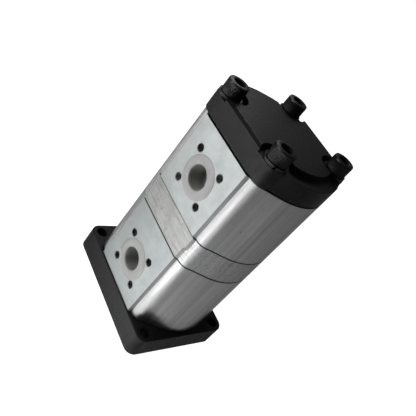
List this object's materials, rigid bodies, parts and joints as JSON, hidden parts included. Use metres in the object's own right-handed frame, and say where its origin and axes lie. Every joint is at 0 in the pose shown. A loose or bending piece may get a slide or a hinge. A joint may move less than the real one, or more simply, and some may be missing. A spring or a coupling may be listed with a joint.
{
  "type": "tandem hydraulic gear pump",
  "caption": "Two-stage external gear pump with a rectangular mounting flange, square port faces, domed side walls, a screwed end cover and a splined drive shaft.",
  "frame": {"origin": "centre of the pilot on the flange's mounting face, on the drive shaft axis", "axes": "+Z along the drive shaft to the end cover, +X to the large suction ports, +Y from the drive gears to the driven gears"},
  "size_m": [0.0886, 0.1116, 0.2232],
  "materials": {
    "black_casting": "satin black paint on a cast surface",
    "aluminium_housing": "machined port faces on an extruded profile",
    "aluminium_block": "machined",
    "bronze_bush": "machined",
    "seal_rubber": "moulded",
    "plug_plastic": "moulded, milky grey",
    "black_oxide_steel": "black oxide",
    "spring_steel": "phosphated",
    "gear_steel": "hardened and ground"
  },
  "bodies": {
    "housing": {"bearing_block_front_lower": "aluminium_block", "bearing_block_front_upper": "aluminium_block", "bearing_block_rear_lower": "aluminium_block", "bearing_block_rear_upper": "aluminium_block", "block_seal_front_lower": "seal_rubber", "block_seal_front_upper": "seal_rubber", "block_seal_rear_lower": "seal_rubber", "block_seal_rear_upper": "seal_rubber", "bush_front_lower_drive": "bronze_bush", "bush_front_lower_driven": "bronze_bush", "bush_front_upper_drive": "bronze_bush", "bush_front_upper_driven": "bronze_bush", "bush_rear_lower_drive": "bronze_bush", "bush_rear_lower_driven": "bronze_bush", "bush_rear_upper_drive": "bronze_bush", "bush_rear_upper_driven": "bronze_bush", "dowel_pins": "gear_steel", "end_cover": "black_casting", "face_seal_front_lower": "seal_rubber", "face_seal_front_upper": "seal_rubber", "face_seal_rear_lower": "seal_rubber", "face_seal_rear_upper": "seal_rubber", "front_flange": "black_casting", "lock_washers": "black_oxide_steel", "middle_plate": "aluminium_housing", "pressure_plug_front": "plug_plastic", "pressure_plug_rear": "plug_plastic", "pump_body_front": "aluminium_housing", "pump_body_rear": "aluminium_housing", "seal_circlip": "spring_steel", "shaft_seal": "seal_rubber", "suction_plug_front": "plug_plastic", "suction_plug_rear": "plug_plastic", "through_screws": "black_oxide_steel"},
    "drive_train": {"drive_shaft_front": "gear_steel", "coupling_sleeve": "gear_steel", "drive_gear_rear": "gear_steel"},
    "driven_front": {"driven_gear_front": "gear_steel"},
    "driven_rear": {"driven_gear_rear": "gear_steel"}
  },
  "joints": [
    {"name": "drive_spin", "type": "hinge", "parent": "housing", "child": "drive_train", "pos_m": [0, 0, 0], "axis": [0, 0, 1], "continuous": true},
    {"name": "driven_front_spin", "type": "hinge", "parent": "housing", "child": "driven_front", "pos_m": [0, 0.033, 0], "axis": [0, 0, 1], "continuous": true},
    {"name": "driven_rear_spin", "type": "hinge", "parent": "housing", "child": "driven_rear", "pos_m": [0, 0.033, 0], "axis": [0, 0, 1], "continuous": true}
  ],
  "couplings": [
    {"joint": "driven_front_spin", "follows": "drive_spin", "ratio": -1},
    {"joint": "driven_rear_spin", "follows": "drive_spin", "ratio": -1}
  ]
}
